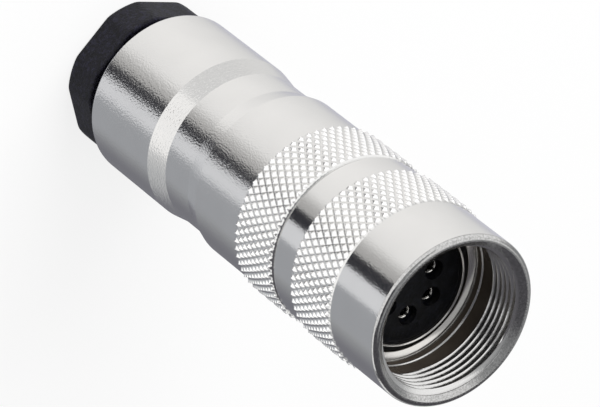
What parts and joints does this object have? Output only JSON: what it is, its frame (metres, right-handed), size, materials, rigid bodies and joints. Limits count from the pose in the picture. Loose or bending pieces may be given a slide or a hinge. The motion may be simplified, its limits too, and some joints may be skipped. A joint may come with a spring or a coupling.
{
  "type": "field-attachable circular connector",
  "caption": "Straight circular cable connector with a knurled threaded coupling ring, recessed socket contacts and a hexagonal cable gland nut.",
  "frame": {"origin": "middle of the gland nut's rear face, on which the connector stands", "axes": "+Z along the connector's axis from the cable end to the mating mouth; two of the nut's corners lie on X"},
  "size_m": [0.0194, 0.0194, 0.0577],
  "materials": {
    "nickel_ring": "satin nickel plate on turned brass",
    "nickel_housing": "satin nickel plate on turned brass",
    "nickel_shell": "bright nickel plate",
    "contact_metal": "silver plate",
    "insulator_black": "smooth moulded",
    "plastic_black": "matte moulded",
    "nut_black": "matte moulded, fine grain",
    "rubber_black": "soft matte"
  },
  "bodies": {
    "nut": {"gland_nut": "nut_black"},
    "clamp": {"clamping_cage": "plastic_black", "cable_seal": "rubber_black", "seal_washer": "plastic_black"},
    "housing": {"housing_sleeve": "nickel_housing", "insert_shell": "nickel_shell", "shell_o_ring": "rubber_black", "front_seal": "rubber_black", "contact_insert": "insulator_black", "contact_retainer": "insulator_black", "spacer_half_right": "plastic_black", "spacer_half_left": "plastic_black", "shield_ring": "nickel_ring", "shield_clamp_ring": "nickel_ring", "contact_1": "contact_metal", "contact_2": "contact_metal", "contact_3": "contact_metal", "contact_4": "contact_metal", "contact_5": "contact_metal"},
    "ring": {"coupling_ring": "nickel_ring"}
  },
  "joints": [
    {"name": "nut_turn", "type": "hinge", "parent": "nut", "child": "clamp", "pos_m": [0, 0, 0.01], "axis": [0, 0, 1], "range_deg": [0, 2160]},
    {"name": "nut_unscrew", "type": "slide", "parent": "clamp", "child": "housing", "axis": [0, 0, 1], "range_m": [0, 0.006]},
    {"name": "ring_turn", "type": "hinge", "parent": "housing", "child": "ring", "pos_m": [0, 0, 0.045], "axis": [0, 0, 1], "continuous": true}
  ],
  "couplings": [
    {"joint": "nut_turn", "follows": "nut_unscrew", "rad_per_m": 6283.2}
  ]
}
